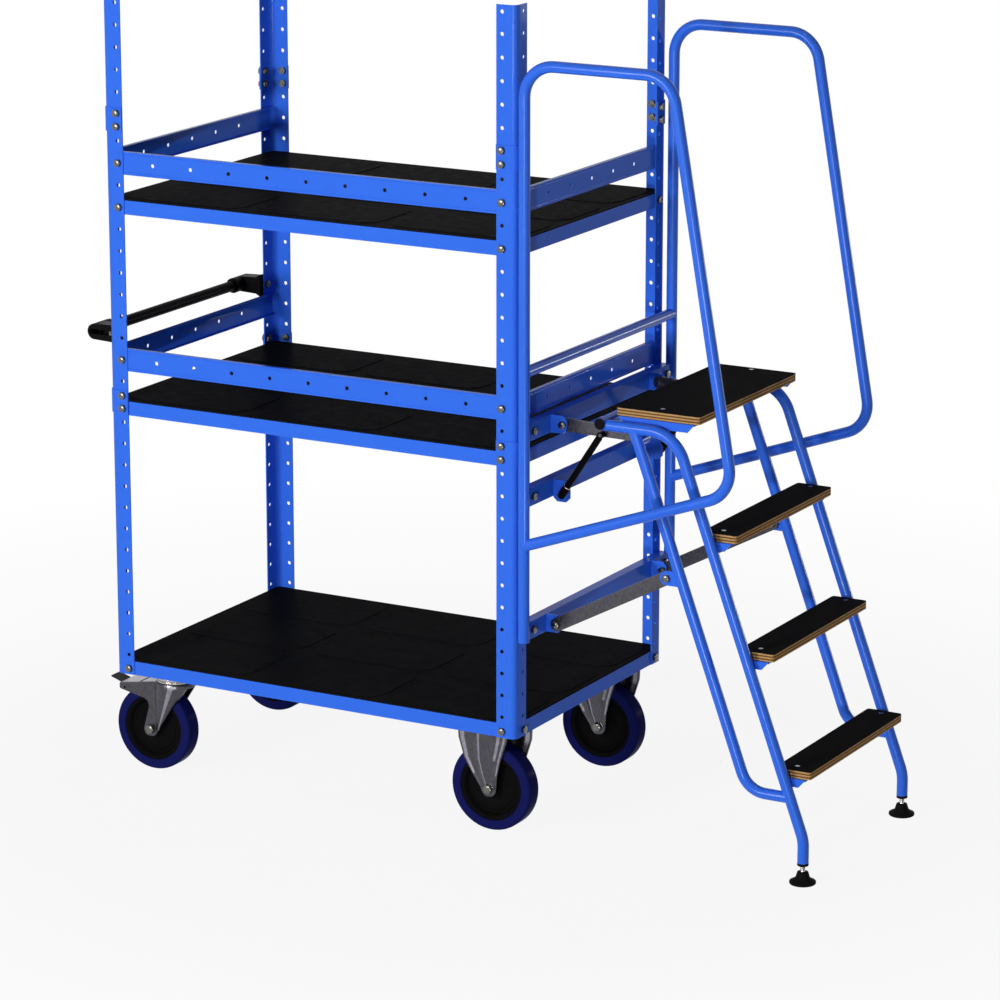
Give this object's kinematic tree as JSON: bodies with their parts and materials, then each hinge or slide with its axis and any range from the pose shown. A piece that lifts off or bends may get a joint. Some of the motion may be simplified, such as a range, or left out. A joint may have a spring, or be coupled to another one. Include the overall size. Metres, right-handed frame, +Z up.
{
  "type": "order picking trolley",
  "caption": "Blue shelf trolley with slotted angle posts, black trays, perforated rails, push handle, braked casters and a fold-away plywood step ladder with handrails",
  "frame": {"origin": "middle of the bounding box on the floor", "axes": "X along the deck towards the ladder, Y to the rear side, Z up"},
  "size_m": [1.8124, 0.722, 1.86],
  "materials": {
    "blue_paint": "bright blue powder coat",
    "tray_black": "black embossed sheet",
    "handle_black": "black powder coat",
    "plastic_black": "moulded black plastic",
    "zinc": "zinc plated pressed steel",
    "bright_steel": "bright zinc plated fasteners",
    "pedal_black": "dark coated steel",
    "gas_black": "gloss black cylinder",
    "tyre_navy": "dark blue elastic tread",
    "hub_black": "moulded wheel centre",
    "tread_ply": "plywood with black anti-slip face"
  },
  "bodies": {
    "trolley_frame": {"base_deck": "blue_paint", "base_tray": "tray_black", "middle_shelf": "blue_paint", "upper_shelf": "blue_paint", "shelf_trays": "tray_black", "post_front_left": "blue_paint", "post_front_right": "blue_paint", "post_rear_left": "blue_paint", "post_rear_right": "blue_paint", "splice_plates": "blue_paint", "front_rails": "blue_paint", "left_rails": "blue_paint", "right_rails": "blue_paint", "push_handle": "handle_black", "handle_brackets": "plastic_black", "swivel_plates": "zinc", "fixed_fork_front": "zinc", "fixed_fork_rear": "zinc", "fixed_axles": "bright_steel", "crossbeam_upper": "blue_paint", "crossbeam_middle": "blue_paint", "crossbeam_lower": "blue_paint", "handrail_front": "blue_paint", "handrail_rear": "blue_paint", "handrail_crossbar": "blue_paint", "frame_bolts": "bright_steel"},
    "swivel_front": {"swivel_fork_front": "zinc", "swivel_axle_front": "bright_steel"},
    "pedal_front": {"brake_pedal_front": "pedal_black"},
    "wheel_front_left": {"tyre_front_left": "tyre_navy", "hub_front_left": "hub_black"},
    "wheel_front_right": {"tyre_front_right": "tyre_navy", "hub_front_right": "hub_black"},
    "swivel_rear": {"swivel_fork_rear": "zinc", "swivel_axle_rear": "bright_steel"},
    "pedal_rear": {"brake_pedal_rear": "pedal_black"},
    "wheel_rear_left": {"tyre_rear_left": "tyre_navy", "hub_rear_left": "hub_black"},
    "wheel_rear_right": {"tyre_rear_right": "tyre_navy", "hub_rear_right": "hub_black"},
    "upper_link_pair": {"upper_links": "zinc"},
    "lower_link_pair": {"lower_links": "zinc"},
    "ladder": {"stringer_front": "blue_paint", "stringer_rear": "blue_paint", "stay_front": "blue_paint", "stay_rear": "blue_paint", "ladder_cross_tube": "blue_paint", "ladder_plugs": "plastic_black", "platform_board": "tread_ply", "step_boards": "tread_ply", "tread_brackets": "blue_paint", "ladder_fasteners": "bright_steel"},
    "gas_rod_body_front": {"gas_rod_front": "bright_steel"},
    "gas_cylinder_body_front": {"gas_cylinder_front": "gas_black"},
    "foot_front": {"foot_spindle_front": "bright_steel"},
    "pad_front": {"foot_pad_front": "plastic_black"},
    "gas_rod_body_rear": {"gas_rod_rear": "bright_steel"},
    "gas_cylinder_body_rear": {"gas_cylinder_rear": "gas_black"},
    "foot_rear": {"foot_spindle_rear": "bright_steel"},
    "pad_rear": {"foot_pad_rear": "plastic_black"}
  },
  "joints": [
    {"name": "swivel_front_turn", "type": "hinge", "parent": "trolley_frame", "child": "swivel_front", "pos_m": [-0.72825, -0.26, 0.245], "axis": [0, 0, 1], "continuous": true},
    {"name": "wheel_front_left_spin", "type": "hinge", "parent": "swivel_front", "child": "wheel_front_left", "pos_m": [-0.77825, -0.26, 0.1], "axis": [0, 1, 0], "continuous": true},
    {"name": "brake_front_press", "type": "hinge", "parent": "swivel_front", "child": "pedal_front", "pos_m": [-0.84925, -0.26, 0.1905], "axis": [0, -1, 0], "range_deg": [0, 12]},
    {"name": "wheel_front_right_spin", "type": "hinge", "parent": "trolley_frame", "child": "wheel_front_right", "pos_m": [0.11975, -0.26, 0.1], "axis": [0, 1, 0], "continuous": true},
    {"name": "swivel_rear_turn", "type": "hinge", "parent": "trolley_frame", "child": "swivel_rear", "pos_m": [-0.72825, 0.26, 0.245], "axis": [0, 0, 1], "continuous": true},
    {"name": "wheel_rear_left_spin", "type": "hinge", "parent": "swivel_rear", "child": "wheel_rear_left", "pos_m": [-0.77825, 0.26, 0.1], "axis": [0, 1, 0], "continuous": true},
    {"name": "brake_rear_press", "type": "hinge", "parent": "swivel_rear", "child": "pedal_rear", "pos_m": [-0.84925, 0.26, 0.1905], "axis": [0, -1, 0], "range_deg": [0, 12]},
    {"name": "wheel_rear_right_spin", "type": "hinge", "parent": "trolley_frame", "child": "wheel_rear_right", "pos_m": [0.11975, 0.26, 0.1], "axis": [0, 1, 0], "continuous": true},
    {"name": "ladder_lift", "type": "hinge", "parent": "trolley_frame", "child": "upper_link_pair", "pos_m": [0.27325, 0, 0.9375], "axis": [0, -1, 0], "range_deg": [0, 12]},
    {"name": "ladder_swing", "type": "hinge", "parent": "upper_link_pair", "child": "ladder", "pos_m": [0.47115, 0, 0.931], "axis": [0, -1, 0], "range_deg": [-18, 0.5]},
    {"name": "lower_link_swing", "type": "hinge", "parent": "trolley_frame", "child": "lower_link_pair", "pos_m": [0.27325, 0, 0.4925], "axis": [0, -1, 0], "range_deg": [-0.5, 10]},
    {"name": "gas_front_swing", "type": "hinge", "parent": "trolley_frame", "child": "gas_rod_body_front", "pos_m": [0.27375, -0.238, 0.782], "axis": [0, -1, 0], "range_deg": [-0.5, 6]},
    {"name": "gas_front_stroke", "type": "slide", "parent": "gas_rod_body_front", "child": "gas_cylinder_body_front", "axis": [0.548, 0, 0.8365], "range_m": [-0.002, 0.025]},
    {"name": "foot_front_level", "type": "slide", "parent": "ladder", "child": "foot_front", "axis": [0, 0, 1], "range_m": [-0.01, 0.01]},
    {"name": "pad_front_tilt", "type": "hinge", "parent": "foot_front", "child": "pad_front", "pos_m": [0.87725, -0.261, 0.012], "axis": [0, 1, 0], "range_deg": [-8, 8]},
    {"name": "gas_rear_swing", "type": "hinge", "parent": "trolley_frame", "child": "gas_rod_body_rear", "pos_m": [0.27375, 0.238, 0.782], "axis": [0, -1, 0], "range_deg": [-0.5, 6]},
    {"name": "gas_rear_stroke", "type": "slide", "parent": "gas_rod_body_rear", "child": "gas_cylinder_body_rear", "axis": [0.548, 0, 0.8365], "range_m": [-0.002, 0.025]},
    {"name": "foot_rear_level", "type": "slide", "parent": "ladder", "child": "foot_rear", "axis": [0, 0, 1], "range_m": [-0.01, 0.01]},
    {"name": "pad_rear_tilt", "type": "hinge", "parent": "foot_rear", "child": "pad_rear", "pos_m": [0.87725, 0.261, 0.012], "axis": [0, 1, 0], "range_deg": [-8, 8]}
  ],
  "couplings": [
    {"joint": "ladder_swing", "follows": "ladder_lift", "ratio": -1.3274},
    {"joint": "lower_link_swing", "follows": "ladder_lift", "ratio": 0.67258},
    {"joint": "gas_front_swing", "follows": "ladder_lift", "ratio": 0.2705},
    {"joint": "gas_front_stroke", "follows": "ladder_lift", "m_per_rad": 0.08263},
    {"joint": "gas_rear_swing", "follows": "ladder_lift", "ratio": 0.2705},
    {"joint": "gas_rear_stroke", "follows": "ladder_lift", "m_per_rad": 0.08263}
  ]
}
